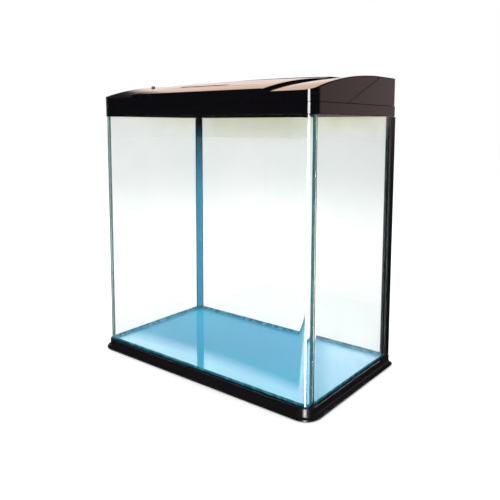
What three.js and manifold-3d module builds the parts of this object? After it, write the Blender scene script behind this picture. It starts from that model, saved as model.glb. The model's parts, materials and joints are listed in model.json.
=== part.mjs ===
// Desktop glass aquarium: rounded-corner glass tank in a flared base, under a flip-up lamp hood.
// Millimetres. X to the right, Y to the back, Z up. The origin is on the ground, under the centre.

import * as THREE from 'three';
import { mergeVertices } from 'three/addons/utils/BufferGeometryUtils.js';
import Module from 'manifold-3d';

const wasm = await Module();
wasm.setup();

// ---- Driving dimensions ----

const CLEARANCE = 0.3;            // gap left between pieces that touch

const GLASS_HALF_W = 182.3;       // outer faces of the side panes
const GLASS_HALF_D = 103.6;       // outer faces of the front and rear panes
const GLASS_T = 5;                // pane thickness
const CORNER_R = 14;              // ground round on the front vertical corners
const FLOOR_TOP_Z = 14;           // upper face of the bottom pane
const GLASS_TOP_Z = 363.5;          // upper edge of the panes, inside the top frame

const BASE_OUTSET = 7.7;          // how far the base flares out past the glass
const BASE_LIP_Z = 14.4;          // top of the base's lip
const FOOT_PROUD = 1;             // how far the feet lift the base off the ground
const SHELF_TOP_Z = 7.7;          // ledge inside the base that carries the tank

const RIM_Z = 353.5;              // lower edge of the hood, all the way round
const HOOD_HALF_W = 183.7;
const HOOD_HALF_D = 105.1;
const HOOD_CORNER_R = 15.4;       // front corners in plan
const HOOD_REAR_R = 4;            // rear corners in plan
const BAND_H = 14;                // height of the top frame's band
const SHELL_T = 2.2;              // wall of the hood mouldings

const PANEL_HALF_W = 115;         // raised panel along the middle of the hood
const PANEL_STEP = 3.9;           // how far that panel stands above the shoulders
const PANEL_SLOPE = 2.6;          // width of the sloped face along the panel's sides
const PANEL_CROWN = 2;            // extra height at its middle, where it meets the rear hood
const REAR_STEP = 1.6;            // the rear hood's panel stands this much above the cover's

const PIVOT_Y = 50.5;             // axis that the front cover turns about
const PIVOT_Z = RIM_Z + 50.3;
const SEAM_Z = RIM_Z + BAND_H + CLEARANCE;

const DOOR_X = [-57, 28];         // feed door in the raised panel
const DOOR_Y = [-62.6, -16];
const DOOR_PIVOT_Y = -65.5;
const DOOR_PIVOT_Z = RIM_Z + 36.9;
const DOOR_GAP = 1.1;
const DOOR_SINK = 1.2;            // the hinge lies this far below the panel's surface

const BUTTON_X = -167;            // lamp switch in the left shoulder
const BUTTON_Y = -18;
const BUTTON_R = 2.8;

const LAMP_HALF_L = 135;          // lamp trough under the front cover
const LAMP_Y = [-8, 34];
const LAMP_Z = [RIM_Z + 22, RIM_Z + 37];
const LAMP_WALL = 1.6;

// ---- Solids and booleans ----

function toSolid(geometry) {
  const bare = geometry.clone();
  bare.deleteAttribute('normal');
  bare.deleteAttribute('uv');
  const merged = mergeVertices(bare, 1e-4);
  const mesh = new wasm.Mesh({
    numProp: 3,
    vertProperties: new Float32Array(merged.attributes.position.array),
    triVerts: new Uint32Array(merged.index.array),
  });
  return new wasm.Manifold(mesh);
}

function toGeometry(solid) {
  const mesh = solid.getMesh();
  const geometry = new THREE.BufferGeometry();
  geometry.setAttribute('position', new THREE.BufferAttribute(mesh.vertProperties, 3));
  geometry.setIndex(new THREE.BufferAttribute(mesh.triVerts, 1));
  return geometry;
}

function cut(solid, ...tools) {
  return tools.reduce((left, tool) => left.subtract(tool), solid);
}

function join(solid, ...others) {
  return others.reduce((sum, other) => sum.add(other), solid);
}

// ---- Basic shapes ----

function box([x0, x1], [y0, y1], [z0, z1]) {
  const geometry = new THREE.BoxGeometry(x1 - x0, y1 - y0, z1 - z0);
  return geometry.translate((x0 + x1) / 2, (y0 + y1) / 2, (z0 + z1) / 2);
}

function prism(shape, z0, z1, curveSegments = 10) {
  const options = { depth: z1 - z0, bevelEnabled: false, curveSegments };
  return new THREE.ExtrudeGeometry(shape, options).translate(0, 0, z0);
}

// A (y, z) outline pushed along X.
function prismAlongX(points, x0, x1) {
  const shape = new THREE.Shape(points.map(([y, z]) => new THREE.Vector2(y, z)));
  const geometry = prism(shape, x0, x1);
  const turn = new THREE.Matrix4().makeBasis(
    new THREE.Vector3(0, 1, 0), new THREE.Vector3(0, 0, 1), new THREE.Vector3(1, 0, 0));
  return geometry.applyMatrix4(turn);
}

function rodX(radius, [x0, x1], y, z, sides = 20) {
  const geometry = new THREE.CylinderGeometry(radius, radius, x1 - x0, sides);
  return geometry.rotateZ(Math.PI / 2).translate((x0 + x1) / 2, y, z);
}

function rodZ(radius, x, y, [z0, z1], sides = 24) {
  const geometry = new THREE.CylinderGeometry(radius, radius, z1 - z0, sides);
  return geometry.rotateX(Math.PI / 2).translate(x, y, (z0 + z1) / 2);
}

// Closed loops of equal length joined side by side; the ends are capped, or joined to each other.
function skin(loops, closed) {
  const count = loops[0].length;
  const positions = loops.flat().flatMap((p) => [p.x, p.y, p.z]);
  const index = [];
  const last = closed ? loops.length : loops.length - 1;
  for (let i = 0; i < last; i += 1) {
    const a = i * count;
    const b = ((i + 1) % loops.length) * count;
    for (let j = 0; j < count; j += 1) {
      const k = (j + 1) % count;
      index.push(a + j, a + k, b + k, a + j, b + k, b + j);
    }
  }
  if (!closed) {
    const flat = loops[0].map((p) => new THREE.Vector2(p.x, p.z));
    const lastStart = (loops.length - 1) * count;
    const turned = THREE.ShapeUtils.isClockWise(flat);
    for (const [p, q, r] of THREE.ShapeUtils.triangulateShape(flat, [])) {
      const [second, third] = turned ? [r, q] : [q, r];
      index.push(p, third, second);
      index.push(lastStart + p, lastStart + second, lastStart + third);
    }
  }
  const geometry = new THREE.BufferGeometry();
  geometry.setAttribute('position', new THREE.Float32BufferAttribute(positions, 3));
  geometry.setIndex(index);
  return facingOut(geometry);
}

// Turns every triangle over when the closed mesh is inside out.
function facingOut(geometry) {
  const p = geometry.attributes.position;
  const index = geometry.index.array;
  const corner = (i) => new THREE.Vector3().fromBufferAttribute(p, index[i]);
  let volume = 0;
  for (let i = 0; i < index.length; i += 3) {
    volume += corner(i).dot(corner(i + 1).cross(corner(i + 2)));
  }
  if (volume < 0) {
    for (let i = 0; i < index.length; i += 3) {
      [index[i + 1], index[i + 2]] = [index[i + 2], index[i + 1]];
    }
  }
  return geometry;
}

// ---- Plan outlines: a rectangle with large front corners and small rear ones ----

function planCorners(halfW, halfD, frontR, rearR) {
  return [
    { x: halfW, y: -halfD, r: frontR, start: -90, steps: 8 },
    { x: halfW, y: halfD, r: rearR, start: 0, steps: 3 },
    { x: -halfW, y: halfD, r: rearR, start: 90, steps: 3 },
    { x: -halfW, y: -halfD, r: frontR, start: 180, steps: 8 },
  ];
}

function planOutline(halfW, halfD, frontR, rearR) {
  const points = [];
  for (const { x, y, r, start, steps } of planCorners(halfW, halfD, frontR, rearR)) {
    const cx = x - Math.sign(x) * r;
    const cy = y - Math.sign(y) * r;
    for (let i = 0; i <= steps; i += 1) {
      const angle = THREE.MathUtils.degToRad(start + (90 * i) / steps);
      points.push(new THREE.Vector2(cx + r * Math.cos(angle), cy + r * Math.sin(angle)));
    }
  }
  return points;
}

const MIN_R = 0.4;

// A closed (outset, z) profile swept round the glass outline.
function sweptRing(profile, frontR = CORNER_R, rearR = 0.1) {
  const rings = profile.map(([outset, z]) => {
    const outline = planOutline(GLASS_HALF_W + outset, GLASS_HALF_D + outset,
      Math.max(frontR + outset, MIN_R), Math.max(rearR + outset, MIN_R));
    return outline.map((p) => new THREE.Vector3(p.x, p.y, z));
  });
  const stations = rings[0].map((_, i) => rings.map((ring) => ring[i]));
  return skin(stations, true);
}

// ---- Base ----

const BASE_BOTTOM_Z = FOOT_PROUD;
const SHELF_BOTTOM_Z = SHELF_TOP_Z - 2.5;
const SHELF_REACH = -32;
const FLARE_STEPS = 7;

// The lip hugs the glass; below its waist the skirt flares out on a quarter ellipse.
function baseProfile() {
  const waist = [2.7, 9.6];
  const tip = [BASE_OUTSET, 2.9];
  const flare = [];
  for (let i = 0; i <= FLARE_STEPS; i += 1) {
    const angle = (Math.PI / 2) * (i / FLARE_STEPS);
    flare.push([
      tip[0] - (tip[0] - waist[0]) * Math.cos(angle),
      waist[1] - (waist[1] - tip[1]) * Math.sin(angle),
    ]);
  }
  return [
    [CLEARANCE, SHELF_TOP_Z], [CLEARANCE, BASE_LIP_Z], [2.5, BASE_LIP_Z], [3, BASE_LIP_Z - 0.6],
    [3, BASE_LIP_Z - 1.8],
    ...flare,
    [BASE_OUTSET, 1.7], [BASE_OUTSET - 0.7, BASE_BOTTOM_Z], [BASE_OUTSET - 2, BASE_BOTTOM_Z],
    [1.5, SHELF_BOTTOM_Z], [SHELF_REACH, SHELF_BOTTOM_Z], [SHELF_REACH, SHELF_TOP_Z],
  ];
}

const FOOT_R = 8;
const FOOT_X = GLASS_HALF_W - 19;
const FOOT_Y = GLASS_HALF_D - 19;

function baseParts() {
  const parts = [['base_frame', sweptRing(baseProfile()), 'basePlastic']];
  for (const [side, sx] of [['left', -1], ['right', 1]]) {
    for (const [end, sy] of [['front', -1], ['rear', 1]]) {
      const foot = rodZ(FOOT_R, sx * FOOT_X, sy * FOOT_Y, [0, SHELF_BOTTOM_Z - CLEARANCE]);
      parts.push([`rubber_foot_${end}_${side}`, foot, 'rubber']);
    }
  }
  const sheet = new THREE.Shape(planOutline(GLASS_HALF_W - 0.7, GLASS_HALF_D - 0.7, CORNER_R - 0.7, 2));
  const sheetZ = SHELF_TOP_Z + CLEARANCE;
  parts.push(['blue_base_sheet', prism(sheet, sheetZ, sheetZ + 0.7), 'blueSheet']);
  return parts;
}

// ---- Glass ----

const PANE_BOTTOM_Z = FLOOR_TOP_Z - GLASS_T;
const INNER_W = GLASS_HALF_W - GLASS_T;
const INNER_D = GLASS_HALF_D - GLASS_T;
const SEAM_HALF = 1.1;            // half the width of the joint ground into a front corner
const DIAGONAL = Math.SQRT1_2;

// Centre of the ground round on the front right corner.
const ROUND_X = GLASS_HALF_W - CORNER_R;
const ROUND_Y = -(GLASS_HALF_D - CORNER_R);

function arcPoints(radius, fromDeg, toDeg, steps) {
  const points = [];
  for (let i = 0; i <= steps; i += 1) {
    const angle = THREE.MathUtils.degToRad(fromDeg + ((toDeg - fromDeg) * i) / steps);
    points.push(new THREE.Vector2(ROUND_X + radius * Math.cos(angle), ROUND_Y + radius * Math.sin(angle)));
  }
  return points;
}

const SEAM_ANGLE = THREE.MathUtils.radToDeg(Math.asin(SEAM_HALF / CORNER_R));

function mirrored(points) {
  return points.map((p) => new THREE.Vector2(-p.x, p.y)).reverse();
}

function frontPane() {
  const end = arcPoints(CORNER_R, -90, -45 - SEAM_ANGLE, 6);
  end.push(new THREE.Vector2(INNER_W - SEAM_HALF / DIAGONAL, -INNER_D));
  return prism(new THREE.Shape([...mirrored(end), ...end]), PANE_BOTTOM_Z, GLASS_TOP_Z);
}

function sidePane(side) {
  const outline = arcPoints(CORNER_R, -45 + SEAM_ANGLE, 0, 6);
  outline.push(new THREE.Vector2(GLASS_HALF_W, GLASS_HALF_D));
  outline.push(new THREE.Vector2(INNER_W, GLASS_HALF_D));
  outline.push(new THREE.Vector2(INNER_W, -INNER_D + SEAM_HALF / DIAGONAL));
  return prism(new THREE.Shape(side > 0 ? outline : mirrored(outline)), PANE_BOTTOM_Z, GLASS_TOP_Z);
}

const FLOOR_BEAD = 3.4;
const FRONT_BEAD = 4.2;
const REAR_BEAD = 6.5;
const FRAME_LIP_Z = RIM_Z + 4;   // how far the top frame reaches down inside the glass

// Clear joint between two ground panes, with a bead in the inner corner.
function frontSeam(side) {
  const half = SEAM_HALF - CLEARANCE;
  const halfAngle = THREE.MathUtils.radToDeg(half / CORNER_R);
  const outline = arcPoints(CORNER_R, -45 - halfAngle, -45 + halfAngle, 2);
  const cornerX = INNER_W - CLEARANCE;
  const cornerY = -INNER_D + CLEARANCE;
  outline.push(new THREE.Vector2(cornerX, cornerY + half / DIAGONAL));
  outline.push(new THREE.Vector2(cornerX, cornerY + FRONT_BEAD));
  outline.push(new THREE.Vector2(cornerX - FRONT_BEAD, cornerY));
  outline.push(new THREE.Vector2(cornerX - half / DIAGONAL, cornerY));
  const shape = new THREE.Shape(side > 0 ? outline : mirrored(outline));
  return prism(shape, FLOOR_TOP_Z + FLOOR_BEAD + 2 * CLEARANCE, GLASS_TOP_Z - 1);
}

function rearSeam(side) {
  const x = INNER_W - CLEARANCE;
  const y = INNER_D - CLEARANCE;
  const bead = new THREE.Shape();
  bead.moveTo(side * x, y);
  bead.lineTo(side * (x - REAR_BEAD), y);
  bead.quadraticCurveTo(side * (x - 2), y - 2, side * x, y - REAR_BEAD);
  bead.closePath();
  return prism(bead, FLOOR_TOP_Z + FLOOR_BEAD + 2 * CLEARANCE, FRAME_LIP_Z - 0.5, 4);
}

function floorSeam() {
  const out = -(GLASS_T + CLEARANCE);
  const low = FLOOR_TOP_Z + CLEARANCE;
  return sweptRing([[out, low], [out, low + FLOOR_BEAD], [out - 1.1, low + 1.1], [out - FLOOR_BEAD, low]],
    GLASS_T + 1, GLASS_T + 1);
}

// Black angle strip over a rear vertical corner.
function rearTrim(side) {
  const gap = 0.2;
  const t = 1.7;
  const leg = 9.5;
  const x0 = GLASS_HALF_W + gap;
  const y0 = GLASS_HALF_D + gap;
  const points = [
    [x0 - leg, y0], [x0 - leg, y0 + t], [x0 + t, y0 + t], [x0 + t, y0 - leg], [x0, y0 - leg], [x0, y0],
  ].map(([x, y]) => new THREE.Vector2(side * x, y));
  return prism(new THREE.Shape(points), BASE_LIP_Z + 0.5, RIM_Z - 0.5);
}

function glassParts() {
  const parts = [
    ['bottom_glass', box([-INNER_W + 0.3, INNER_W - 0.3], [-INNER_D + 0.3, INNER_D - 0.3],
      [PANE_BOTTOM_Z, FLOOR_TOP_Z]), 'glass'],
    ['front_glass', frontPane(), 'glass'],
    ['rear_glass', box([-INNER_W + CLEARANCE, INNER_W - CLEARANCE], [INNER_D, GLASS_HALF_D],
      [PANE_BOTTOM_Z, GLASS_TOP_Z]), 'glass'],
    ['floor_seam', floorSeam(), 'silicone'],
  ];
  for (const [name, side] of [['left', -1], ['right', 1]]) {
    parts.push([`${name}_side_glass`, sidePane(side), 'glass']);
    parts.push([`front_${name}_seam`, frontSeam(side), 'silicone']);
    parts.push([`rear_${name}_seam`, rearSeam(side), 'darkSilicone']);
    parts.push([`rear_${name}_corner_trim`, rearTrim(side), 'blackPlastic']);
  }
  return parts;
}

// ---- Top frame: a band that straddles the upper edge of the glass ----

function topFrame() {
  const outer = HOOD_HALF_W - GLASS_HALF_W;
  const lipIn = -GLASS_T - CLEARANCE;
  const ledgeZ = GLASS_TOP_Z + CLEARANCE;
  const bandTop = RIM_Z + BAND_H;
  const rib = outer - SHELL_T - 1;           // a rib inside the hood's wall keeps light in
  return sweptRing([
    [CLEARANCE, RIM_Z], [outer - 0.5, RIM_Z], [outer, RIM_Z + 0.5], [outer, bandTop - 0.4],
    [outer - 0.4, bandTop], [rib, bandTop], [rib, bandTop + 3], [rib - 1.5, bandTop + 3],
    [rib - 1.5, ledgeZ + 2], [-13, ledgeZ + 2], [-13, ledgeZ + 0.5],
    [lipIn - 1.5, ledgeZ + 0.5], [lipIn - 1.5, FRAME_LIP_Z], [lipIn, FRAME_LIP_Z], [lipIn, ledgeZ],
    [CLEARANCE, ledgeZ],
  ]);
}

// ---- Hood surface ----

// Height on a quadratic curve through three (y, z) points, at a given y.
function curveHeight([y0, z0], [y1, z1], [y2, z2], y) {
  const a = y0 - 2 * y1 + y2;
  const b = 2 * (y1 - y0);
  const c = y0 - y;
  const t = (-b + Math.sqrt(b * b - 4 * a * c)) / (2 * a);
  return (1 - t) ** 2 * z0 + 2 * t * (1 - t) * z1 + t * t * z2;
}

const FRONT_TOP = RIM_Z + 26.4;   // top of the front face, at the shoulders
const HINGE_Y = 50;               // where the rear hood takes over from the front cover

// Top edge of the hood's side faces.
function edgeHeight(y) {
  const end = [HINGE_Y, RIM_Z + 51.6];
  if (y >= HINGE_Y) return end[1];
  return curveHeight([-HOOD_HALF_D, FRONT_TOP + 0.2], [-43.6, RIM_Z + 48.8], end, y);
}

// Foot of the raised panel: the shoulders dip from the side edges down to this line.
function footHeight(y) {
  const end = [HINGE_Y, RIM_Z + 48.6];
  if (y >= HINGE_Y) return end[1] + 0.03 * (y - HINGE_Y);
  return curveHeight([-HOOD_HALF_D, FRONT_TOP], [-43, RIM_Z + 43.8], end, y);
}

function panelHeight(x, y, step) {
  const along = Math.min((y + HOOD_HALF_D) / (HINGE_Y + HOOD_HALF_D), 1);
  const crown = PANEL_CROWN * along * (1 - (x / PANEL_HALF_W) ** 2);
  return footHeight(y) + step + crown;
}

// Upper outline of the hood across X at one y, moved inwards by an inset.
function hoodSection(y, step, inset, floorZ) {
  const half = HOOD_HALF_W - inset;
  const panel = PANEL_HALF_W - inset;
  const right = [0, 0.3, 0.55, 0.78, 0.97].map((f) => [panel * f, panelHeight(panel * f, y, step)]);
  right.push([panel, panelHeight(panel, y, step) - 0.5]);
  right.push([panel + PANEL_SLOPE, footHeight(y) + 0.2]);
  const shoulder = (x) => {
    const t = (x - panel) / (half - panel);
    return footHeight(y) * (1 - t) + edgeHeight(y) * t;
  };
  for (const x of [panel + PANEL_SLOPE + 2, panel + 32, half - 6, half - 1.8]) {
    right.push([x, shoulder(x)]);
  }
  right.push([half - 0.5, edgeHeight(y) - 0.5], [half, edgeHeight(y) - 1.8]);
  const left = right.slice(1).map(([x, z]) => [-x, z]).reverse();
  const top = [...left, ...right].map(([x, z]) => new THREE.Vector3(x, y, z - inset));
  return [new THREE.Vector3(-half, y, floorZ), ...top, new THREE.Vector3(half, y, floorZ)];
}

const FRONT_FORM = {
  stations: [-105.1, -97, -88, -76, -62, -46, -28, -8, 14, 36, 50],
  step: PANEL_STEP,
};
const REAR_FORM = { stations: [46, 78, 105.1], step: PANEL_STEP + REAR_STEP };

function hoodSolid(inset, form, floorZ) {
  const sections = form.stations.map((y) => hoodSection(y, form.step, inset, floorZ));
  const loft = toSolid(skin(sections, false));
  const outline = planOutline(HOOD_HALF_W - inset, HOOD_HALF_D - inset,
    HOOD_CORNER_R - inset, Math.max(HOOD_REAR_R - inset, MIN_R));
  return loft.intersect(toSolid(prism(new THREE.Shape(outline), floorZ - 1, RIM_Z + 80)));
}

const ABOVE = RIM_Z + 80;
const INSIDE_FLOOR = SEAM_Z - 6;
const AWAY = 130;

function layer(form, outerInset, innerInset) {
  const outer = hoodSolid(outerInset, form, SEAM_Z);
  return outer.subtract(hoodSolid(innerInset, form, INSIDE_FLOOR));
}

// The slanted joint on the hood's sides runs from the band up to the hinge.
const SLANT_FOOT = [-29, SEAM_Z];
const SLANT_HEAD = [48.4, RIM_Z + 47];
const SLANT_GAP = 0.5;

function coverRegion() {
  return toSolid(prismAlongX([
    [-AWAY, SEAM_Z - 9], [SLANT_FOOT[0] - 21, SEAM_Z - 9], SLANT_FOOT, SLANT_HEAD,
    [49.5, RIM_Z + 48.4], [49.5, ABOVE], [-AWAY, ABOVE],
  ], -200, 200));
}

function rearRegion() {
  return toSolid(prismAlongX([
    [AWAY, SEAM_Z - 9], [AWAY, ABOVE], [54.4, ABOVE], [54.4, RIM_Z + 50.6], [50.9, RIM_Z + 47],
    [SLANT_HEAD[0] + 1, SLANT_HEAD[1] - SLANT_GAP], [SLANT_FOOT[0] + 1, SLANT_FOOT[1] - SLANT_GAP],
    [SLANT_FOOT[0] - 20, SEAM_Z - 9],
  ], -200, 200));
}

// ---- Hinge of the front cover ----

const KNUCKLE_R = 2.6;
const PIN_R = 1.2;
const PIN_BORE = 1.5;
const BARREL_X = [80, 100];
const LUGS_X = [[72, 79.5], [100.5, 108]];

function mirrorRange([a, b], side) {
  return side > 0 ? [a, b] : [-b, -a];
}

function pivotRod(radius, range) {
  return toSolid(rodX(radius, range, PIVOT_Y, PIVOT_Z));
}

// Trough that closes off the slot between the cover and the rear hood.
const GUTTER_BACK = 56.4;
const GUTTER_Z = [RIM_Z + 43.7, RIM_Z + 45.3];

function hingeGutter() {
  const reach = HOOD_HALF_W - 1;
  const floor = box([-reach, reach], [47, GUTTER_BACK], GUTTER_Z);
  const wall = box([-reach, reach], [54.6, GUTTER_BACK], [GUTTER_Z[0], ABOVE]);
  return toSolid(floor).add(toSolid(wall)).intersect(hoodSolid(1, REAR_FORM, SEAM_Z));
}

function rearHood() {
  const shell = layer(REAR_FORM, 0, SHELL_T);
  const cheeks = hoodSolid(0, FRONT_FORM, SEAM_Z).subtract(
    toSolid(box([-HOOD_HALF_W + SHELL_T, HOOD_HALF_W - SHELL_T], [-AWAY, AWAY], [0, ABOVE])));
  let hood = join(shell.add(cheeks).intersect(rearRegion()), hingeGutter());
  for (const side of [-1, 1]) {
    for (const lug of LUGS_X) {
      const range = mirrorRange(lug, side);
      const web = box(range, [PIVOT_Y, GUTTER_BACK], [PIVOT_Z - 2, PIVOT_Z + 1.6]);
      hood = join(hood, pivotRod(KNUCKLE_R, range), toSolid(web));
    }
    hood = cut(hood, pivotRod(PIN_BORE, mirrorRange([BARREL_X[0] - 12, BARREL_X[1] + 12], side)));
  }
  const notch = box(CABLE_NOTCH_X, [HOOD_HALF_D - 5, HOOD_HALF_D + 5], [SEAM_Z - 1, SEAM_Z + CABLE_NOTCH_H]);
  return cut(hood, toSolid(notch));
}

const CABLE_NOTCH_X = [-152, -134];
const CABLE_NOTCH_H = 9;

// ---- Front cover with its feed door and lamp switch ----

const BOSS_X = 112;
const BOSS_Y = [2, 24];
const BOSS_R = 3.6;
const SCREW_HOLE_R = 1.6;
const DOOR_LUG = 6.5;

function frontCover() {
  let cover = layer(FRONT_FORM, 0, SHELL_T).intersect(coverRegion());
  const mergeInto = hoodSolid(1, FRONT_FORM, SEAM_Z);
  for (const side of [-1, 1]) {
    for (const lug of LUGS_X) {
      const [a, b] = mirrorRange(lug, side);
      cover = cut(cover, pivotRod(KNUCKLE_R + 0.5, [a - 0.4, b + 0.4]));
    }
    const barrel = mirrorRange(BARREL_X, side);
    const web = box(barrel, [PIVOT_Y - 6, PIVOT_Y], [PIVOT_Z - 2, PIVOT_Z + 1.4]);
    cover = join(cover, pivotRod(KNUCKLE_R, barrel), toSolid(web));
    cover = cut(cover, pivotRod(PIN_BORE, mirrorRange([BARREL_X[0] - 1, BARREL_X[1] + 1], side)));
    for (const y of BOSS_Y) {
      const boss = toSolid(rodZ(BOSS_R, side * BOSS_X, y, [LAMP_Z[1] + CLEARANCE, ABOVE]));
      const hole = toSolid(rodZ(SCREW_HOLE_R, side * BOSS_X, y, [LAMP_Z[1] - 1, LAMP_Z[1] + 6]));
      cover = cut(join(cover, boss.intersect(mergeInto)), hole);
    }
  }
  cover = cut(cover, toSolid(rodZ(BUTTON_R + 0.5, BUTTON_X, BUTTON_Y, [SEAM_Z, ABOVE])));
  return withFeedOpening(cover);
}

function withFeedOpening(cover) {
  const xRange = [DOOR_X[0] - DOOR_GAP, DOOR_X[1] + DOOR_GAP];
  const yRange = [DOOR_PIVOT_Y - 4.6, DOOR_Y[1] + DOOR_GAP];
  let result = cut(cover, toSolid(box(xRange, yRange, [SEAM_Z, ABOVE])));
  const ledge = layer(FRONT_FORM, 2.3, 3.6).intersect(
    toSolid(box([xRange[0] - 2, xRange[1] + 2], [DOOR_Y[1] - 2.5, DOOR_Y[1] + 4], [SEAM_Z, ABOVE])));
  const riser = layer(FRONT_FORM, 1, 3).intersect(
    toSolid(box([xRange[0] - 2, xRange[1] + 2], [DOOR_Y[1] + 1, DOOR_Y[1] + 4], [SEAM_Z, ABOVE])));
  result = join(result, ledge, riser);
  for (const range of [[xRange[0] - 2, DOOR_X[0] + DOOR_LUG], [DOOR_X[1] - DOOR_LUG, xRange[1] + 2]]) {
    result = join(result, toSolid(rodX(2, range, DOOR_PIVOT_Y, DOOR_PIVOT_Z)));
  }
  const bore = [xRange[0] - 1, xRange[1] + 1];
  return cut(result, toSolid(rodX(DOOR_BORE, bore, DOOR_PIVOT_Y, DOOR_PIVOT_Z)));
}

const DOOR_BORE = 1.1;
const DOOR_PIN_R = 0.8;
const DOOR_T = 2;
const FINGER_R = 9;

function feedDoor() {
  const middle = (DOOR_X[0] + DOOR_X[1]) / 2;
  const barrel = [DOOR_X[0] + DOOR_LUG + 0.4, DOOR_X[1] - DOOR_LUG - 0.4];
  const skinLayer = layer(FRONT_FORM, 0, DOOR_T);
  const plate = skinLayer.intersect(toSolid(box(DOOR_X, DOOR_Y, [SEAM_Z, ABOVE])));
  const sunk = layer(FRONT_FORM, DOOR_SINK, DOOR_SINK + 2);
  const web = sunk.intersect(toSolid(box(barrel, [DOOR_PIVOT_Y, DOOR_Y[0] + 1], [SEAM_Z, ABOVE])));
  const knuckle = toSolid(rodX(2, barrel, DOOR_PIVOT_Y, DOOR_PIVOT_Z));
  const door = cut(join(plate, web, knuckle),
    toSolid(rodX(DOOR_BORE, [barrel[0] - 1, barrel[1] + 1], DOOR_PIVOT_Y, DOOR_PIVOT_Z)));
  return cut(door, toSolid(rodZ(FINGER_R, middle, DOOR_Y[1] + 3, [SEAM_Z, ABOVE])));
}

const SWITCH_R = 7;
const SWITCH_BORE = 5;
const SWITCH_BOTTOM_Z = RIM_Z + 27;
const BUTTON_TOP_Z = RIM_Z + 48.2;
const FLANGE_Z = [RIM_Z + 34, RIM_Z + 36.5];
const PRESS_ROOM = 3;             // space left under the button's flange

function lightSwitch() {
  const body = rodZ(SWITCH_R, BUTTON_X, BUTTON_Y, [SWITCH_BOTTOM_Z, ABOVE]);
  const trimmed = toSolid(body).intersect(hoodSolid(SHELL_T + CLEARANCE, FRONT_FORM, SEAM_Z));
  const chamber = rodZ(SWITCH_BORE, BUTTON_X, BUTTON_Y, [FLANGE_Z[0] - PRESS_ROOM, FLANGE_Z[1] + CLEARANCE]);
  const neck = rodZ(BUTTON_R + 0.5, BUTTON_X, BUTTON_Y, [FLANGE_Z[0], ABOVE]);
  return cut(trimmed, toSolid(chamber), toSolid(neck));
}

// Turned outline of the push button: retaining flange, stem and a domed cap.
function lightButton() {
  const points = [[0, FLANGE_Z[0]], [4.5, FLANGE_Z[0]], [4.5, FLANGE_Z[1]], [BUTTON_R, FLANGE_Z[1]],
    [BUTTON_R, BUTTON_TOP_Z - 0.8], [BUTTON_R - 0.7, BUTTON_TOP_Z - 0.15], [0, BUTTON_TOP_Z]];
  const geometry = new THREE.LatheGeometry(points.map(([r, z]) => new THREE.Vector2(r, z)), 24);
  return facingOut(toGeometry(toSolid(geometry.rotateX(Math.PI / 2).translate(BUTTON_X, BUTTON_Y, 0))));
}

// ---- Lamp unit under the cover ----

function lampHousing() {
  const outer = toSolid(box([-LAMP_HALF_L, LAMP_HALF_L], LAMP_Y, LAMP_Z));
  const inner = toSolid(box([-LAMP_HALF_L - 1, LAMP_HALF_L + 1],
    [LAMP_Y[0] + LAMP_WALL, LAMP_Y[1] - LAMP_WALL], [LAMP_Z[0] - 1, LAMP_Z[1] - LAMP_WALL]));
  const holes = screwPlaces().map(([x, y]) => toSolid(rodZ(SCREW_HOLE_R, x, y, [LAMP_Z[0], LAMP_Z[1] + 1])));
  return cut(outer, inner, ...holes);
}

function screwPlaces() {
  return [-1, 1].flatMap((side) => BOSS_Y.map((y) => [side * BOSS_X, y]));
}

function reflector() {
  const low = LAMP_Z[0] + 2.7;
  const high = LAMP_Z[1] - 4.3;
  const t = 0.8;
  const y0 = LAMP_Y[0] + LAMP_WALL + CLEARANCE;
  const y1 = LAMP_Y[1] - LAMP_WALL - CLEARANCE;
  const rise = 9;
  const end = LAMP_HALF_L - 2;
  return prismAlongX([
    [y0, low], [y0 + rise, high], [y1 - rise, high], [y1, low],
    [y1 - 1, low], [y1 - rise - 0.4, high - t], [y0 + rise + 0.4, high - t], [y0 + 1, low],
  ], -end, end);
}

function screw(x, y) {
  const headTop = LAMP_Z[1] - LAMP_WALL - 0.15;
  const points = [[0, headTop - 2], [1.8, headTop - 1.9], [2.7, headTop - 1.1], [2.7, headTop],
    [1.3, headTop], [1.3, LAMP_Z[1] + 5], [0, LAMP_Z[1] + 5.6]];
  const geometry = new THREE.LatheGeometry(points.map(([r, z]) => new THREE.Vector2(r, z)), 16);
  return facingOut(toGeometry(toSolid(geometry.rotateX(Math.PI / 2).translate(x, y, 0))));
}

function lampParts() {
  const lensZ = LAMP_Z[0] + CLEARANCE;
  const lensY = [LAMP_Y[0] + LAMP_WALL + CLEARANCE, LAMP_Y[1] - LAMP_WALL - CLEARANCE];
  const boardZ = LAMP_Z[1] - 4.3 - 0.8 - CLEARANCE;
  const boardY = (LAMP_Y[0] + LAMP_Y[1]) / 2;
  const parts = [
    ['lamp_housing', toGeometry(lampHousing()), 'lampPlastic'],
    ['lamp_reflector', reflector(), 'reflector'],
    ['led_board', box([-LAMP_HALF_L + 8, LAMP_HALF_L - 8], [boardY - 7, boardY + 7],
      [boardZ - 1.6, boardZ]), 'circuitBoard'],
    ['lamp_lens', box([-LAMP_HALF_L + 1, LAMP_HALF_L - 1], lensY, [lensZ, lensZ + 2]), 'diffuser'],
  ];
  for (const [name, side] of [['left', -1], ['right', 1]]) {
    const xRange = mirrorRange([LAMP_HALF_L + CLEARANCE, LAMP_HALF_L + 4], side);
    const cap = box(xRange, [LAMP_Y[0] - 0.8, LAMP_Y[1] + 0.8], [LAMP_Z[0] - 0.8, LAMP_Z[1] + 0.8]);
    parts.push([`lamp_end_cap_${name}`, cap, 'lampPlastic']);
  }
  screwPlaces().forEach(([x, y], i) => parts.push([`lamp_screw_${i + 1}`, screw(x, y), 'steel']));
  return parts;
}

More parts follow.
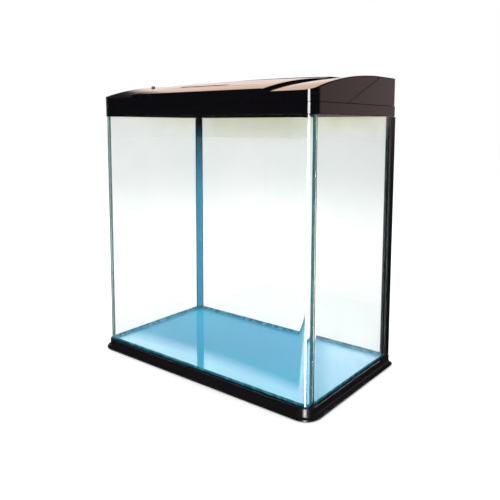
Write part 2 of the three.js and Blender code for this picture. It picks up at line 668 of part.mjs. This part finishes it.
function hoodParts() {
  const doorPin = [DOOR_X[0] + 0.5, DOOR_X[1] - 0.5];
  const parts = [
    ['top_frame', topFrame(), 'blackPlastic'],
    ['rear_hood', toGeometry(rearHood()), 'blackPlastic'],
    ['front_cover', toGeometry(frontCover()), 'blackPlastic'],
    ['feed_door', toGeometry(feedDoor()), 'blackPlastic'],
    ['feed_door_pin', rodX(DOOR_PIN_R, doorPin, DOOR_PIVOT_Y, DOOR_PIVOT_Z, 12), 'steel'],
    ['light_switch', toGeometry(lightSwitch()), 'lampPlastic'],
    ['light_button', lightButton(), 'blackPlastic'],
  ];
  for (const [name, side] of [['left', -1], ['right', 1]]) {
    const range = mirrorRange([LUGS_X[0][0] + 0.5, LUGS_X[1][1] - 0.5], side);
    parts.push([`cover_hinge_pin_${name}`, rodX(PIN_R, range, PIVOT_Y, PIVOT_Z, 12), 'steel']);
  }
  return parts;
}

// ---- Assembly ----

const MATERIALS = {
  basePlastic: { color: 0x161416, roughness: 0.35, metalness: 0 },
  blackPlastic: { color: 0x121114, roughness: 0.22, metalness: 0 },
  rubber: { color: 0x1a1a1a, roughness: 0.9, metalness: 0 },
  blueSheet: { color: 0x5ab4e0, roughness: 0.5, metalness: 0 },
  glass: { color: 0xdff0ee, roughness: 0.03, metalness: 0 },
  silicone: { color: 0x3a8f90, roughness: 0.3, metalness: 0 },
  darkSilicone: { color: 0x0f3a55, roughness: 0.4, metalness: 0 },
  steel: { color: 0xb0b4b8, roughness: 0.3, metalness: 1 },
  lampPlastic: { color: 0x202022, roughness: 0.5, metalness: 0 },
  reflector: { color: 0xe8e8ea, roughness: 0.2, metalness: 1 },
  circuitBoard: { color: 0xf2f2ee, roughness: 0.5, metalness: 0 },
  diffuser: { color: 0xf4f6f8, roughness: 0.4, metalness: 0 },
};

const group = new THREE.Group();
for (const [name, geometry, finish] of [...baseParts(), ...glassParts(), ...hoodParts(), ...lampParts()]) {
  const mesh = new THREE.Mesh(geometry, new THREE.MeshStandardMaterial(MATERIALS[finish]));
  mesh.name = name;
  group.add(mesh);
}

export default group;
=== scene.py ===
"""Looks of a desktop glass aquarium: clear panes in a black base, under a glossy black flip-up hood."""

import json
import math

import bmesh
import bpy
from mathutils import Matrix, Vector


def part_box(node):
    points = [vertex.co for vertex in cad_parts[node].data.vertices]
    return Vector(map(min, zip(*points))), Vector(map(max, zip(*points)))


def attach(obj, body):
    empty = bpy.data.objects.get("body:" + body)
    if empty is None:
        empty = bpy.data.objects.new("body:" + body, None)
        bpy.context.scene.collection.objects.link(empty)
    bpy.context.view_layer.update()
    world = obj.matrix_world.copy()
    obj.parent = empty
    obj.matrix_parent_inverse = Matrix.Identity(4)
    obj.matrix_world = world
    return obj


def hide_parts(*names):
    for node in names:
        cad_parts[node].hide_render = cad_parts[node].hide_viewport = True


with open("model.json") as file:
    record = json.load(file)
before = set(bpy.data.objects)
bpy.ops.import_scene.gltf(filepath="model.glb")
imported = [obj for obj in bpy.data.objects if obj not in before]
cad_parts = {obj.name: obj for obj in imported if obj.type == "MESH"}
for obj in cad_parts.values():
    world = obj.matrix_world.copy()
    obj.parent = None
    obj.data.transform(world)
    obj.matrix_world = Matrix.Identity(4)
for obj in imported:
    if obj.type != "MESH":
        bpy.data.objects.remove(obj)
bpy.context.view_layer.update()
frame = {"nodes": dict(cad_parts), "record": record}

MM = 0.001
NODES = frame["nodes"]
BODY_OF = {n: body for body, names in frame["record"]["behaviour"]["bodies"].items() for n in names}
SLOT_OF = {s["node"]: s["material_slot"] for s in frame["record"]["subparts"]}

RIM_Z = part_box("top_frame")[0].z      # lower edge of the hood; the glass is hidden above it


# ---- Node helpers ----

class Nodes:
    """Short calls that build one material's or world's node tree."""

    def __init__(self, tree):
        self.tree = tree
        tree.nodes.clear()

    def new(self, kind, settings=None, **values):
        node = self.tree.nodes.new(kind)
        for name, value in (settings or {}).items():
            setattr(node, name, value)
        for name, value in values.items():
            self.put(node, name.replace("_", " "), value)
        return node

    def put(self, node, socket, value):
        target = node.inputs[int(socket)] if socket.isdigit() else node.inputs[socket]
        if isinstance(value, bpy.types.NodeSocket):
            self.tree.links.new(value, target)
        else:
            target.default_value = value

    def math(self, operation, a, b=0.0):
        node = self.new("ShaderNodeMath", {"operation": operation})
        self.put(node, "0", a)
        self.put(node, "1", b)
        return node.outputs[0]

    def noise(self, vector, scale, detail, roughness=0.5):
        node = self.new("ShaderNodeTexNoise", Scale=scale, Detail=detail, Roughness=roughness,
                        Vector=vector)
        return node.outputs["Fac"]

    def spread(self, value, low, high, to_low, to_high):
        """Takes the range low..high to to_low..to_high, and holds the ends outside it."""
        node = self.new("ShaderNodeMapRange", Value=value)
        ends = {"From Min": low, "From Max": high, "To Min": to_low, "To Max": to_high}
        for name, number in ends.items():
            node.inputs[name].default_value = number
        return node.outputs[0]

    def band(self, value, rise, fall, level=1.0):
        """0 outside, level between; rise and fall are the two ends' (start, end)."""
        up = self.spread(value, *rise, 0.0, 1.0)
        return self.math("MULTIPLY", up, self.spread(value, *fall, level, 0.0))

    def ramp(self, value, stops):
        node = self.new("ShaderNodeValToRGB", Fac=value)
        elements = node.color_ramp.elements
        while len(elements) < len(stops):
            elements.new(0.5)
        for element, (place, colour) in zip(elements, stops):
            element.position = place
            element.color = (*colour, 1.0)
        return node.outputs["Color"]

    def mix(self, factor, a, b, blend="MIX"):
        node = self.new("ShaderNodeMix", {"data_type": "RGBA", "blend_type": blend})
        self.put(node, "0", factor)
        self.put(node, "6", a)
        self.put(node, "7", b)
        return node.outputs[2]

    def bump(self, height, strength, distance):
        node = self.new("ShaderNodeBump", Height=height, Strength=strength, Distance=distance)
        return node.outputs["Normal"]


def material(name):
    made = bpy.data.materials.new(name)
    made.use_nodes = True
    return made, Nodes(made.node_tree)


def object_vector(n):
    return n.new("ShaderNodeTexCoord").outputs["Object"]


def surface(n, shader):
    out = n.new("ShaderNodeOutputMaterial")
    n.put(out, "Surface", shader)


# ---- Materials ----

def moulded_plastic(name, dark, light, roughness, orange_peel=0.05, wear=0.03, specular=0.5):
    """Injection-moulded plastic: cloudy gloss, faint orange peel, fine rub marks and a little dust."""
    made, n = material(name)
    vector = object_vector(n)
    cloud = n.noise(vector, 14.0, 4.0)
    peel = n.noise(vector, 420.0, 2.0)
    long_way = n.new("ShaderNodeMapping", Vector=vector)
    long_way.inputs["Scale"].default_value = (1.0, 22.0, 22.0)
    rubs = n.noise(long_way.outputs[0], 60.0, 5.0, 0.65)
    marks = n.spread(rubs, 0.58, 0.72, 0.0, 1.0)
    dust = n.spread(n.noise(vector, 900.0, 2.0), 0.66, 0.74, 0.0, 1.0)
    colour = n.mix(cloud, (*dark, 1.0), (*light, 1.0))
    colour = n.mix(n.math("MULTIPLY", dust, wear), colour, (0.35, 0.34, 0.33, 1.0))
    gloss = n.math("ADD", n.spread(cloud, 0.3, 0.7, roughness * 0.8, roughness * 1.25),
                   n.math("MULTIPLY", marks, wear))
    shader = n.new("ShaderNodeBsdfPrincipled", Base_Color=colour, Roughness=gloss,
                   Normal=n.bump(peel, orange_peel, 0.0002))
    shader.inputs["Specular IOR Level"].default_value = specular
    surface(n, shader.outputs[0])
    return made


def rubber():
    made, n = material("foot_rubber_matt")
    vector = object_vector(n)
    grain = n.noise(vector, 700.0, 4.0)
    colour = n.mix(grain, (0.012, 0.012, 0.012, 1.0), (0.035, 0.034, 0.033, 1.0))
    shader = n.new("ShaderNodeBsdfPrincipled", Base_Color=colour, Normal=n.bump(grain, 0.4, 0.0003),
                   Roughness=n.spread(grain, 0.3, 0.7, 0.75, 0.95))
    surface(n, shader.outputs[0])
    return made


PAINTED_REFLECTION_DEPTH = 45 * MM              # how far below the hood the painted warm reflection reaches
CLEAN_GLASS = (0.965, 0.982, 0.975)


def clear_glass(name, tint, painted_top_reflection=None):
    """Float glass that light shines through. The upper edge can carry a painted warm reflection, in
    soft patches that are strongest in the right half and weak on the right side pane."""
    made, n = material(name)
    vector = object_vector(n)
    height = n.new("ShaderNodeSeparateXYZ", Vector=vector).outputs["Z"]
    smear = n.noise(vector, 9.0, 4.0, 0.6)
    colour = n.mix(n.spread(smear, 0.4, 0.75, 0.0, 1.0), (*tint, 1.0), (*CLEAN_GLASS, 1.0))
    # painted warm reflection near the hood, mixed into the glass colour in patches
    if painted_top_reflection:
        near_top = n.math("POWER", n.spread(height, RIM_Z - PAINTED_REFLECTION_DEPTH, RIM_Z, 0.0, 1.0), 1.6)
        along = n.new("ShaderNodeSeparateXYZ", Vector=vector).outputs["X"]
        reflection_patches = n.spread(n.noise(vector, 16.0, 2.0), 0.35, 0.65, 0.55, 1.0)
        reflection_patches = n.math("MULTIPLY", reflection_patches, n.spread(along, -0.12, 0.05, 0.10, 1.0))
        reflection_patches = n.math("MULTIPLY", reflection_patches, n.spread(along, 0.150, 0.172, 1.0, 0.35))
        colour = n.mix(n.math("MULTIPLY", near_top, reflection_patches), colour, (*painted_top_reflection, 1.0))
    roughness = n.spread(n.noise(vector, 5.0, 5.0, 0.7), 0.45, 0.8, 0.0, 0.012)
    shader = n.new("ShaderNodeBsdfPrincipled", Base_Color=colour, Roughness=roughness, IOR=1.5,
                   Transmission_Weight=1.0)
    through = n.new("ShaderNodeBsdfTransparent", Color=colour)
    path = n.new("ShaderNodeLightPath")
    lets_through = n.math("MAXIMUM", path.outputs["Is Shadow Ray"], path.outputs["Is Diffuse Ray"])
    both = n.new("ShaderNodeMixShader")
    n.put(both, "0", lets_through)
    n.put(both, "1", shader.outputs[0])
    n.put(both, "2", through.outputs[0])
    surface(n, both.outputs[0])
    return made


PAINTED_LIGHT_Z = (0.235, 0.345)               # the painted blue light fades out between these heights
# how strong the painted blue light is at the bottom of the seam
PAINTED_LIGHT_STRENGTH = 0.85


def silicone(name, dark, light, clearness, painted_sheet_light=None, specular=0.5):
    """Cured silicone: milky, a little lumpy, partly clear. Painted blue light from the sheet can climb
    it from below.
    """
    made, n = material(name)
    vector = object_vector(n)
    streak = n.new("ShaderNodeMapping", Vector=vector)
    streak.inputs["Scale"].default_value = (1.0, 1.0, 0.12)
    lumps = n.noise(streak.outputs[0], 160.0, 4.0)
    colour = n.mix(n.spread(lumps, 0.3, 0.7, 0.0, 1.0), (*dark, 1.0), (*light, 1.0))
    # painted blue light from the sheet, full low down and gone above the upper height
    if painted_sheet_light:
        height = n.new("ShaderNodeSeparateXYZ", Vector=vector).outputs["Z"]
        painted_climb = n.spread(height, *PAINTED_LIGHT_Z, PAINTED_LIGHT_STRENGTH, 0.0)
        colour = n.mix(painted_climb, colour, (*painted_sheet_light, 1.0))
    shader = n.new("ShaderNodeBsdfPrincipled", Base_Color=colour, IOR=1.42,
                   Transmission_Weight=clearness,
                   Roughness=n.spread(lumps, 0.3, 0.7, 0.18, 0.34),
                   Normal=n.bump(lumps, 0.25, 0.0004))
    shader.inputs["Specular IOR Level"].default_value = specular
    surface(n, shader.outputs[0])
    return made


def blue_sheet():
    """Sky-blue foam sheet: fine cell texture with slow changes of shade."""
    made, n = material("blue_foam_sheet")
    vector = object_vector(n)
    slow = n.noise(vector, 6.0, 3.0)
    cells = n.new("ShaderNodeTexVoronoi", Scale=520.0, Vector=vector).outputs["Distance"]
    deep = (0.010, 0.48, 0.90, 1.0)
    pale = (0.020, 0.60, 0.96, 1.0)
    colour = n.mix(n.spread(slow, 0.3, 0.7, 0.0, 1.0), deep, pale)
    colour = n.mix(n.spread(cells, 0.0, 0.7, 0.10, 0.0), colour, (0.004, 0.38, 0.72, 1.0))
    shader = n.new("ShaderNodeBsdfPrincipled", Base_Color=colour, Normal=n.bump(cells, 0.3, 0.0003),
                   Roughness=n.spread(slow, 0.3, 0.7, 0.3, 0.5))
    surface(n, shader.outputs[0])
    return made


def metal(name, colour, roughness, brushed):
    made, n = material(name)
    vector = object_vector(n)
    along = n.new("ShaderNodeMapping", Vector=vector)
    along.inputs["Scale"].default_value = (brushed, 1.0, 1.0)
    lines = n.noise(along.outputs[0], 900.0, 3.0)
    darker = tuple(c * 0.8 for c in colour)
    shade = n.mix(lines, (*darker, 1.0), (*colour, 1.0))
    shader = n.new("ShaderNodeBsdfPrincipled", Base_Color=shade, Metallic=1.0,
                   Roughness=n.spread(lines, 0.3, 0.7, roughness * 0.7, roughness * 1.4),
                   Normal=n.bump(lines, 0.1, 0.0001))
    surface(n, shader.outputs[0])
    return made


def circuit_board():
    made, n = material("led_board_mask")
    vector = object_vector(n)
    weave = n.noise(vector, 350.0, 2.0)
    tracks = n.new("ShaderNodeTexBrick", Scale=60.0, Vector=vector).outputs["Fac"]
    colour = n.mix(n.math("MULTIPLY", tracks, 0.2), (0.82, 0.82, 0.78, 1.0), (0.55, 0.50, 0.38, 1.0))
    shader = n.new("ShaderNodeBsdfPrincipled", Base_Color=colour, Normal=n.bump(weave, 0.1, 0.0001),
                   Roughness=n.spread(weave, 0.3, 0.7, 0.3, 0.5))
    surface(n, shader.outputs[0])
    return made


def frosted_lens():
    made, n = material("lens_frosted")
    vector = object_vector(n)
    frost = n.noise(vector, 500.0, 4.0)
    colour = n.mix(frost, (0.86, 0.90, 0.92, 1.0), (0.95, 0.97, 0.98, 1.0))
    shader = n.new("ShaderNodeBsdfPrincipled", Base_Color=colour, Transmission_Weight=0.55, IOR=1.49,
                   Roughness=n.spread(frost, 0.3, 0.7, 0.25, 0.45), Normal=n.bump(frost, 0.2, 0.0002))
    surface(n, shader.outputs[0])
    return made


def phosphor():
    made, n = material("led_phosphor")
    vector = object_vector(n)
    grain = n.noise(vector, 2500.0, 2.0)
    colour = n.mix(grain, (0.85, 0.62, 0.12, 1.0), (0.95, 0.80, 0.30, 1.0))
    shader = n.new("ShaderNodeBsdfPrincipled", Base_Color=colour,
                   Roughness=n.spread(grain, 0.3, 0.7, 0.4, 0.6))
    surface(n, shader.outputs[0])
    return made


GLOSS_BLACK = ((0.0016, 0.0014, 0.0022), (0.0030, 0.0026, 0.0036))
BASE_BLACK = ((0.003, 0.0026, 0.0036), (0.007, 0.006, 0.008))
DARK_GREY = ((0.020, 0.020, 0.021), (0.032, 0.032, 0.034))
TEAL = ((0.004, 0.10, 0.10), (0.02, 0.22, 0.22))
BLUE_BLACK = ((0.0015, 0.004, 0.008), (0.004, 0.015, 0.028))
GREEN_BLACK = ((0.0015, 0.004, 0.006), (0.01, 0.02, 0.024))
POOL_BLUE = ((0.02, 0.26, 0.40), (0.05, 0.40, 0.52))
# the sheet's blue light, painted onto the lower part of a seam
PAINTED_SHEET_BLUE = (0.02, 0.42, 0.72)

MATERIAL_OF_SLOT = {
    "base_plastic": moulded_plastic("base_moulding_black", *BASE_BLACK, 0.22, 0.08, 0.05),
    "black_plastic": moulded_plastic("hood_gloss_black", *GLOSS_BLACK, 0.085, 0.03, 0.02),
    "lamp_plastic": moulded_plastic("lamp_moulding_grey", *DARK_GREY, 0.4, 0.2, 0.06),
    "foot_rubber": rubber(),
    "blue_sheet": blue_sheet(),
    # the last colour is a painted warm reflection along the top of the panes
    "clear_glass": clear_glass("float_glass_painted_top", (0.92, 0.948, 0.938), (0.68, 0.68, 0.48)),
    "seam_silicone": silicone("seam_teal", *TEAL, 0.25),
    # this seam carries painted blue light from the sheet along its lower part
    "dark_silicone": silicone("seam_dark_blue_painted_glow", *BLUE_BLACK, 0.05, PAINTED_SHEET_BLUE, 0.15),
    "pin_steel": metal("pin_steel_drawn", (0.60, 0.61, 0.63), 0.28, 0.02),
    "reflector_metal": metal("reflector_polished", (0.86, 0.87, 0.88), 0.12, 0.02),
    "circuit_board": circuit_board(),
    "lens_plastic": frosted_lens(),
}

# Nodes that look different from the rest of their slot.
MATERIAL_OF_NODE = {
    "bottom_glass": clear_glass("floor_glass", (0.955, 0.975, 0.967)),
    "floor_seam": silicone("floor_seam_pale", *POOL_BLUE, 0.4),
    "rear_right_seam": silicone("seam_rear_right_dark", *GREEN_BLACK, 0.1, specular=0.15),
}
TRIM_BLACK = moulded_plastic("corner_trim_black", *GLOSS_BLACK, 0.35, 0.05, 0.03, specular=0.2)
for trim in ("rear_left_corner_trim", "rear_right_corner_trim"):
    MATERIAL_OF_NODE[trim] = TRIM_BLACK


def material_of(node):
    return MATERIAL_OF_NODE.get(node) or MATERIAL_OF_SLOT[SLOT_OF[node]]


def finish_with(obj, made):
    obj.data.materials.clear()
    obj.data.materials.append(made)


def add_piece(name, mesh, body, made):
    piece = bpy.data.objects.new(name, mesh)
    bpy.context.scene.collection.objects.link(piece)
    finish_with(piece, made)
    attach(piece, body)
    return piece


# ---- Moulded and ground pieces, taken from the CAD solids with rounded edges ----

SHARP_ANGLE = math.radians(28)
FLAT_ANGLE = math.radians(0.4)


def round_edges(piece, radius):
    """Smooth shading with flat faces kept flat, and a small round on every sharp edge."""
    for polygon in piece.data.polygons:
        polygon.use_smooth = True
    bevel = piece.modifiers.new("rounded_edges", "BEVEL")
    bevel.width = radius
    bevel.segments = 2
    bevel.limit_method = "ANGLE"
    bevel.angle_limit = SHARP_ANGLE
    bevel.use_clamp_overlap = True
    flat = piece.modifiers.new("flat_faces_stay_flat", "WEIGHTED_NORMAL")
    flat.mode = "FACE_AREA"
    flat.weight = 100


def rounded_copy(node, radius):
    """The CAD solid with every sharp edge rounded, in the CAD node's place."""
    name = node + "_moulding"
    bm = bmesh.new()
    bm.from_mesh(NODES[node].data)
    bmesh.ops.remove_doubles(bm, verts=bm.verts, dist=1e-6)
    bmesh.ops.dissolve_limit(bm, angle_limit=FLAT_ANGLE, verts=bm.verts, edges=bm.edges)
    mesh = bpy.data.meshes.new(name)
    bm.to_mesh(mesh)
    bm.free()
    piece = add_piece(name, mesh, BODY_OF[node], material_of(node))
    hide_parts(node)
    round_edges(piece, radius)


MOULDED = {
    "base_frame": 0.5 * MM,
    "top_frame": 0.3 * MM,
    "rear_hood": 0.4 * MM,
    "front_cover": 0.4 * MM,
    "feed_door": 0.35 * MM,
    "light_button": 0.3 * MM,
    "light_switch": 0.3 * MM,
    "lamp_housing": 0.4 * MM,
    "lamp_end_cap_left": 0.8 * MM,
    "lamp_end_cap_right": 0.8 * MM,
    "lamp_lens": 0.4 * MM,
    "rear_left_corner_trim": 0.35 * MM,
    "rear_right_corner_trim": 0.35 * MM,
    "rear_glass": 0.5 * MM,
    "bottom_glass": 0.5 * MM,
}

for node, radius in MOULDED.items():
    rounded_copy(node, radius)

for node, obj in NODES.items():
    if node not in MOULDED:
        finish_with(obj, material_of(node))


# ---- Front and side panes, bonded along the round front corners ----

PANE = 5.0 * MM
CORNER_R = 14.0 * MM
JOINT = -24.0                         # where on the round the two panes meet, in degrees from +X
SEAM_HALF = 0.5 * MM                  # half the width of the bonded joint
SEAM_OVERLAP = 0.06 * MM              # the joint wets the panes, so no air gap shows
GLASS_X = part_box("right_side_glass")[1].x
GLASS_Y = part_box("rear_glass")[1].y
ROUND = Vector((GLASS_X - CORNER_R, -(GLASS_Y - CORNER_R)))


def arc(radius, start, end, steps=14):
    """Points round the front right corner; the angles are in degrees from +X."""
    points = []
    for i in range(steps + 1):
        a = math.radians(start + (end - start) * i / steps)
        points.append((ROUND.x + radius * math.cos(a), ROUND.y + radius * math.sin(a)))
    return points


def edge_angle(radius, half):
    """The turn, in degrees, that puts a point half a joint's width off the joint's middle."""
    return math.degrees(math.asin(half / radius))


def mirror_x(points):
    return [(-x, y) for x, y in reversed(points)]


def front_pane_outline():
    half = SEAM_HALF - SEAM_OVERLAP
    inner = CORNER_R - PANE
    end = arc(CORNER_R, -90, JOINT - edge_angle(CORNER_R, half))
    end += arc(inner, JOINT - edge_angle(inner, half), JOINT - edge_angle(inner, half) - 4, 2)
    end.append((ROUND.x + 0.6 * inner, -(GLASS_Y - PANE)))
    return mirror_x(end) + end


def side_pane_outline(side):
    half = SEAM_HALF - SEAM_OVERLAP
    inner = CORNER_R - PANE
    outline = arc(CORNER_R, JOINT + edge_angle(CORNER_R, half), 0)
    outline += [(GLASS_X, GLASS_Y), (GLASS_X - PANE, GLASS_Y)]
    outline += arc(inner, 0, JOINT + edge_angle(inner, half))
    return outline if side > 0 else mirror_x(outline)


def seam_outline(side):
    inner = CORNER_R - PANE - 0.5 * MM
    wide = 1.6 * SEAM_HALF
    outline = arc(CORNER_R - 0.15 * MM, JOINT - edge_angle(CORNER_R, SEAM_HALF),
                  JOINT + edge_angle(CORNER_R, SEAM_HALF), 4)
    outline += arc(inner, JOINT + edge_angle(inner, wide), JOINT - edge_angle(inner, wide), 4)
    return outline if side > 0 else mirror_x(outline)


def upright(node, outline, suffix, radius):
    """A plan outline carried up the whole height of a CAD node, in that node's place."""
    low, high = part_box(node)
    bm = bmesh.new()
    ring = [bm.verts.new((x, y, low.z)) for x, y in outline]
    bottom = bm.faces.new(ring)
    made = bmesh.ops.extrude_face_region(bm, geom=[bottom])
    for item in made["geom"]:
        if isinstance(item, bmesh.types.BMVert):
            item.co.z = high.z
    bmesh.ops.recalc_face_normals(bm, faces=bm.faces)
    mesh = bpy.data.meshes.new(node + suffix)
    bm.to_mesh(mesh)
    bm.free()
    piece = add_piece(node + suffix, mesh, BODY_OF[node], material_of(node))
    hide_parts(node)
    round_edges(piece, radius)


upright("front_glass", front_pane_outline(), "_pane", 0.3 * MM)
for name, side in (("left", -1), ("right", 1)):
    upright(name + "_side_glass", side_pane_outline(side), "_pane", 0.3 * MM)
    upright("front_" + name + "_seam", seam_outline(side), "_joint", 0.15 * MM)


# ---- LED chips on the board ----

def led_chips():
    low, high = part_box("led_board")
    count = 24
    chip = (5.0 * MM, 3.0 * MM, 0.7 * MM)
    bm = bmesh.new()
    for i in range(count):
        x = low.x + (i + 0.5) * (high.x - low.x) / count
        place = Matrix.Translation((x, (low.y + high.y) / 2, low.z - chip[2] / 2))
        made = bmesh.ops.create_cube(bm, size=1.0, matrix=place @ Matrix.Diagonal((*chip, 1.0)))
        edges = {e for v in made["verts"] for e in v.link_edges}
        bmesh.ops.bevel(bm, geom=list(edges), offset=0.15 * MM, segments=1, affect="EDGES")
    mesh = bpy.data.meshes.new("led_chips")
    bm.to_mesh(mesh)
    bm.free()
    add_piece("led_chips", mesh, "cover", phosphor())


led_chips()


# ---- Stage, light and camera ----

FLOOR_HALF = 12.0                     # half the side of the stage floor, in metres


def floor_plane():
    h = FLOOR_HALF
    mesh = bpy.data.meshes.new("stage_floor")
    mesh.from_pydata([(-h, -h, 0), (h, -h, 0), (h, h, 0), (-h, h, 0)], [], [(0, 1, 2, 3)])
    floor = bpy.data.objects.new("stage_floor", mesh)
    bpy.context.scene.collection.objects.link(floor)
    made, n = material("stage_pale")
    shader = n.new("ShaderNodeBsdfPrincipled", Roughness=0.9)
    shader.inputs["Base Color"].default_value = (1.0, 1.0, 1.0, 1.0)
    shader.inputs["Specular IOR Level"].default_value = 0.0
    surface(n, shader.outputs[0])
    finish_with(floor, made)
    floor.visible_glossy = False


# Places in the room are turns about Z from straight ahead of the tank (0) by way of its right (0.25)
# to behind it (0.5) and its left (0.75), and heights from -1 to 1.
WHITE = (1.0, 1.0, 1.0)
DARK_ROOM = (0.02, 0.02, 0.025)
WARM_WALLS = [
    (0.0, DARK_ROOM), (0.34, (0.03, 0.025, 0.025)), (0.40, (0.55, 0.38, 0.37)),
    (0.45, (0.62, 0.48, 0.47)), (0.50, (0.75, 0.66, 0.64)), (0.57, (1.02, 0.97, 0.95)),
    (0.66, (1.02, 0.97, 0.95)), (0.74, (0.5, 0.48, 0.47)), (0.84, DARK_ROOM), (1.0, DARK_ROOM),
]
PALE_PANEL = [
    (0.0, DARK_ROOM), (0.54, DARK_ROOM), (0.57, WHITE), (0.637, WHITE), (0.645, DARK_ROOM),
    (1.0, DARK_ROOM),
]
PANEL_SHADES = [
    (0.0, (1.0, 0.97, 0.95)), (0.13, (0.98, 0.90, 0.87)), (0.21, (1.40, 1.13, 1.00)),
    (0.33, (1.45, 1.03, 0.85)), (0.45, (1.85, 1.30, 1.05)), (0.52, DARK_ROOM),
    (1.0, (0.04, 0.04, 0.045)),
]
STRIP_LIGHT = 22.0                    # how bright the strip light looks in reflections
WINDOW_LIGHT = 1.9                    # how bright the two windows behind look in the floor glass
WINDOW_SLANT = 0.54                   # lean of the left window's edge, in turns per unit of height
BETWEEN_WINDOWS = 0.42                # what the floor glass reflects from between them


def outer_room(n, around, up):
    """What the outside of the tank reflects: warm walls low down, a pale panel higher up behind and to
    the left, nothing below the horizon, and a bright strip light ahead and to the right."""
    panel = n.mix(1.0, n.ramp(around, PALE_PANEL), n.ramp(up, PANEL_SHADES), "MULTIPLY")
    room = n.mix(n.spread(up, 0.13, 0.22, 0.0, 1.0), n.ramp(around, WARM_WALLS), panel)
    room = n.mix(n.spread(up, -0.02, 0.005, 1.0, 0.0), room, (*DARK_ROOM, 1.0))
    strip = n.band(around, (0.060, 0.066), (0.112, 0.118))
    strip = n.math("MULTIPLY", strip, n.spread(n.math("ABSOLUTE", up), 0.70, 0.75, 1.0, 0.0))
    return n.mix(strip, room, (STRIP_LIGHT, STRIP_LIGHT, STRIP_LIGHT * 1.03, 1.0))


def inner_room(n, around, up, back):
    """What the inside of the tank reflects: darkness ahead, and two windows behind, high up."""
    slanted = n.math("ADD", around, n.math("MULTIPLY", up, WINDOW_SLANT))
    left_window = n.spread(slanted, 0.820, 0.830, 0.0, WINDOW_LIGHT)
    left_window = n.math("MULTIPLY", left_window, n.spread(around, 0.69, 0.71, 1.0, 0.0))
    right_window = n.band(around, (0.545, 0.56), (0.583, 0.590), WINDOW_LIGHT)
    windows = n.math("ADD", n.math("MAXIMUM", left_window, right_window), BETWEEN_WINDOWS)
    behind = n.math("MAXIMUM", windows, n.spread(up, 0.05, 0.15, 1.0, 0.0))
    return n.math("MULTIPLY", n.spread(back, -0.05, 0.05, 0.08, 1.0), behind)


def studio_world():
    """White for what is seen directly or through the glass. Reflections see a studio's two rooms."""
    world = bpy.data.worlds.new("studio")
    bpy.context.scene.world = world
    world.use_nodes = True
    n = Nodes(world.node_tree)
    direction = n.new("ShaderNodeTexCoord").outputs["Generated"]
    split = n.new("ShaderNodeSeparateXYZ", Vector=direction)
    back = split.outputs["Y"]
    up = split.outputs["Z"]
    around = n.math("ARCTAN2", split.outputs["X"], n.math("MULTIPLY", back, -1.0))
    around = n.math("FRACT", n.math("ADD", n.math("DIVIDE", around, 2 * math.pi), 1.0))
    path = n.new("ShaderNodeLightPath")
    outside_glass = n.math("LESS_THAN", path.outputs["Transmission Depth"], 0.5)
    outer_gloss = n.math("MULTIPLY", path.outputs["Is Glossy Ray"], outside_glass)
    inner_gloss = n.math("GREATER_THAN", path.outputs["Glossy Depth"], 0.5)
    lit = n.mix(inner_gloss, (*WHITE, 1.0), inner_room(n, around, up, back))
    lit = n.mix(outer_gloss, lit, outer_room(n, around, up))
    background = n.new("ShaderNodeBackground", Color=lit, Strength=1.0)
    out = n.new("ShaderNodeOutputWorld")
    n.put(out, "Surface", background.outputs[0])


LIGHT_AIM = Vector((0.0, 0.0, 0.2))


def area_light(name, place, size, energy):
    data = bpy.data.lights.new(name, "AREA")
    data.shape = "DISK"
    data.size = size
    data.energy = energy
    lamp = bpy.data.objects.new(name, data)
    lamp.location = place
    lamp.rotation_euler = (LIGHT_AIM - Vector(place)).to_track_quat("-Z", "Y").to_euler()
    lamp.visible_glossy = False
    bpy.context.scene.collection.objects.link(lamp)


CAMERA_PLACE = (0.5184, -0.6390, 0.3410)
CAMERA_YAW = math.radians(38.324)     # turned left from looking straight at the front
CAMERA_PITCH = math.radians(6.192)    # looking down
CAMERA_ROLL = math.radians(0.142)
FOCAL_SHARE = 572.3 / 500             # focal length as a share of the frame's width
SENSOR_MM = 36.0
CAMERA_SHIFT_Y = -0.125


def camera():
    data = bpy.data.cameras.new("camera")
    data.sensor_width = SENSOR_MM
    data.lens = FOCAL_SHARE * SENSOR_MM
    data.shift_y = CAMERA_SHIFT_Y
    made = bpy.data.objects.new("camera", data)
    turn = Matrix.Rotation(CAMERA_YAW, 4, "Z") @ Matrix.Rotation(math.pi / 2 - CAMERA_PITCH, 4, "X")
    made.matrix_world = Matrix.Translation(CAMERA_PLACE) @ turn @ Matrix.Rotation(CAMERA_ROLL, 4, "Z")
    bpy.context.scene.collection.objects.link(made)
    bpy.context.scene.camera = made


floor_plane()
studio_world()
area_light("key_light", (0.6, -1.2, 1.6), 1.0, 13.0)
area_light("top_light", (-0.3, 0.4, 1.8), 1.4, 13.0)
camera()
bpy.context.scene.view_settings.view_transform = "Standard"
